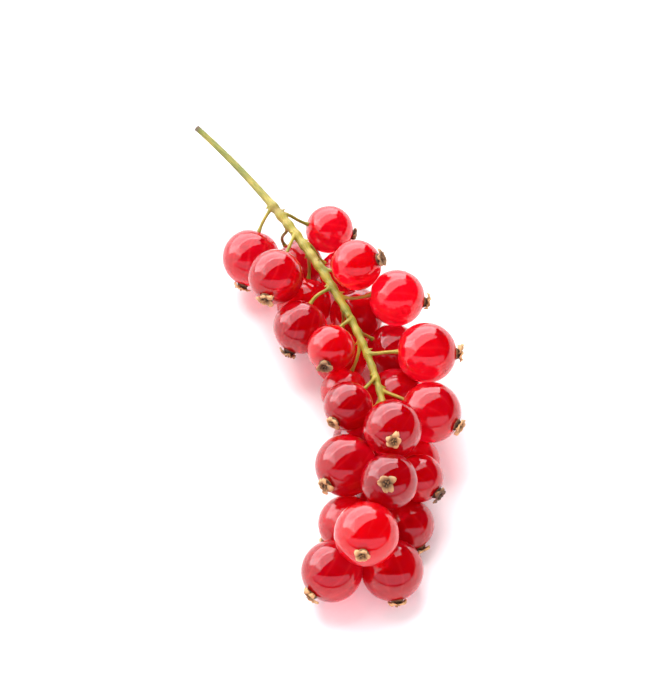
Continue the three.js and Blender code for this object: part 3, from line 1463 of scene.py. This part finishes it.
    def nearness_to_cut(self, points: np.ndarray) -> np.ndarray:
        """Finds how near each point is to the cut.

        Args:
            points: The points, in millimetres.

        Returns:
            From 0, past the stain, to 1, at the cut.
        """
        offset = points - self.layout.stalk.point(0)
        from_cut = offset @ self.layout.stalk.tangent(0)
        stained = np.clip(self.stain - from_cut / self.stain_fade, 0, 1)
        return stained * (np.linalg.norm(offset, axis=1) < self.stain_reach)

    def dress(self, piece: bpy.types.Object) -> None:
        """Gives the stem its finish, in place of the solid one."""
        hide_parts("stem")
        finish_piece(piece, Slot.STEM, StemFinish().material())


# ---- The studio ----


def aim(thing: bpy.types.Object, target: Vector, azimuth: float, elevation: float, distance: float) -> None:
    """Adds a light or the camera to the scene, turned to a target.

    Args:
        thing: The light or the camera.
        target: What it looks at.
        azimuth: Its side in degrees, 0 on the camera's side and 180 behind the strig.
        elevation: How high it stands, in degrees.
        distance: How far off it is, in metres.
    """
    turn, rise = math.radians(azimuth), math.radians(elevation)
    back = Vector((math.sin(turn) * math.cos(rise), -math.cos(turn) * math.cos(rise), math.sin(rise)))
    thing.location = target + back * distance
    thing.rotation_euler = (-back).to_track_quat("-Z", "Y").to_euler()
    bpy.context.scene.collection.objects.link(thing)


class LightKind(Enum):
    """What a soft light does to surfaces. Each kind also shines through the clear berries."""

    LAMP = "lights them and isn't mirrored"
    MIRRORED = "is mirrored and doesn't light them"
    BOTH = "does both"


@dataclass(frozen=True)
class SoftLight:
    """A rectangular soft light, with its sizes in metres and its place round the strig in degrees.

    Its brightness is that of each patch of it, so a larger light gives more.
    """

    name: str
    azimuth: float
    elevation: float
    distance: float
    width: float
    height: float
    brightness: float
    kind: LightKind
    colour: tuple = (1.0, 1.0, 1.0)

    def hang(self, target: Vector) -> None:
        """Adds the light to the scene, unseen by the camera itself.

        Args:
            target: What it is aimed at.
        """
        data = bpy.data.lights.new(self.name, "AREA")
        data.shape = "RECTANGLE"
        data.size, data.size_y = self.width, self.height
        data.energy = self.brightness * math.pi * self.width * self.height
        data.color = self.colour
        light = bpy.data.objects.new(self.name, data)
        light.visible_camera = False
        light.visible_glossy = self.kind is not LightKind.LAMP
        light.visible_diffuse = self.kind is not LightKind.MIRRORED
        aim(light, target, self.azimuth, self.elevation, self.distance)


@dataclass
class Studio:
    """A white table under soft lights, and the camera that looks down on the strig.

    Its sizes are in metres. The surrounding dims from white, low down, to its own brightness, between the
    two heights of dimming.
    """

    floor_size: float = 3.0
    camera_elevation: float = 58.0
    camera_distance: float = 0.31
    lens: float = 100.0
    clip_start: float = 0.01
    surrounding: float = 0.72
    dimming: tuple = (0.2, 0.4)
    lights: tuple = (
        SoftLight("key", 205, 58, 1.8, 1.2, 1.2, 10.6, LightKind.LAMP),
        SoftLight("window", 208, 24, 0.5, 1.2, 0.42, 6.0, LightKind.MIRRORED, (1.0, 0.95, 1.0)),
        SoftLight("skylight", 214, 62, 0.5, 1.1, 0.36, 3.6, LightKind.MIRRORED, (1.0, 0.95, 1.0)),
        SoftLight("side_card", 268, 24, 0.5, 0.5, 0.45, 2.1, LightKind.MIRRORED),
        SoftLight("front_card", 0, 24, 0.55, 2.4, 0.36, 1.9, LightKind.BOTH, (1.0, 0.66, 0.82)),
    )

    def build(self) -> None:
        """Adds floor, lights, world and camera, and sets how the picture shows them."""
        self.floor()
        target = Vector((CAD_BOX[0] + CAD_BOX[1]) / 2)
        for light in self.lights:
            light.hang(target)
        self.world()
        self.camera(target)
        scene = bpy.context.scene
        scene.view_settings.view_transform = "Standard"
        scene.cycles.use_denoising = True

    def floor(self) -> None:
        """Adds the table's surface, just below the strig."""
        bm = bmesh.new()
        bmesh.ops.create_grid(bm, x_segments=2, y_segments=2, size=self.floor_size / 2)
        floor = mesh_object("floor", bm)
        floor.data.materials.append(FloorFinish().material())

    def world(self) -> None:
        """Sets a white surrounding, dimmer overhead, that gives light but no reflections."""
        world = bpy.data.worlds.new("studio")
        world.use_nodes = True
        nodes, links = world.node_tree.nodes, world.node_tree.links
        background = nodes["Background"]
        background.inputs["Color"].default_value = (1, 1, 1, 1)
        direction = nodes.new("ShaderNodeTexCoord")
        parts = nodes.new("ShaderNodeSeparateXYZ")
        dimming = nodes.new("ShaderNodeMapRange")
        ranges = zip(("From Min", "From Max", "To Min", "To Max"), (*self.dimming, 1.0, self.surrounding))
        for name, value in ranges:
            dimming.inputs[name].default_value = value
        links.new(direction.outputs["Generated"], parts.inputs[0])
        links.new(parts.outputs["Z"], dimming.inputs["Value"])
        links.new(dimming.outputs["Result"], background.inputs["Strength"])
        bpy.context.scene.world = world
        world.cycles_visibility.glossy = False

    def camera(self, target: Vector) -> None:
        """Adds the camera, looking down on the strig from the side of its tip.

        Args:
            target: What it looks at.
        """
        data = bpy.data.cameras.new("camera")
        data.lens = self.lens
        data.clip_start = self.clip_start
        camera = bpy.data.objects.new("camera", data)
        aim(camera, target, azimuth=0, elevation=self.camera_elevation, distance=self.camera_distance)
        bpy.context.scene.camera = camera


def main() -> None:
    """Builds the strig piece by piece, then the studio round it."""
    logging.basicConfig(level=logging.INFO, format="%(name)s: %(message)s")
    layout = StrigLayout()
    for part in (BerrySkins(layout), Crowns(layout), GreenStem(layout)):
        piece = part.build()
        part.dress(piece)
        log.info("%s: %d triangles", piece.name, triangle_count(piece))
    Studio().build()


if __name__ == "__main__":
    main()
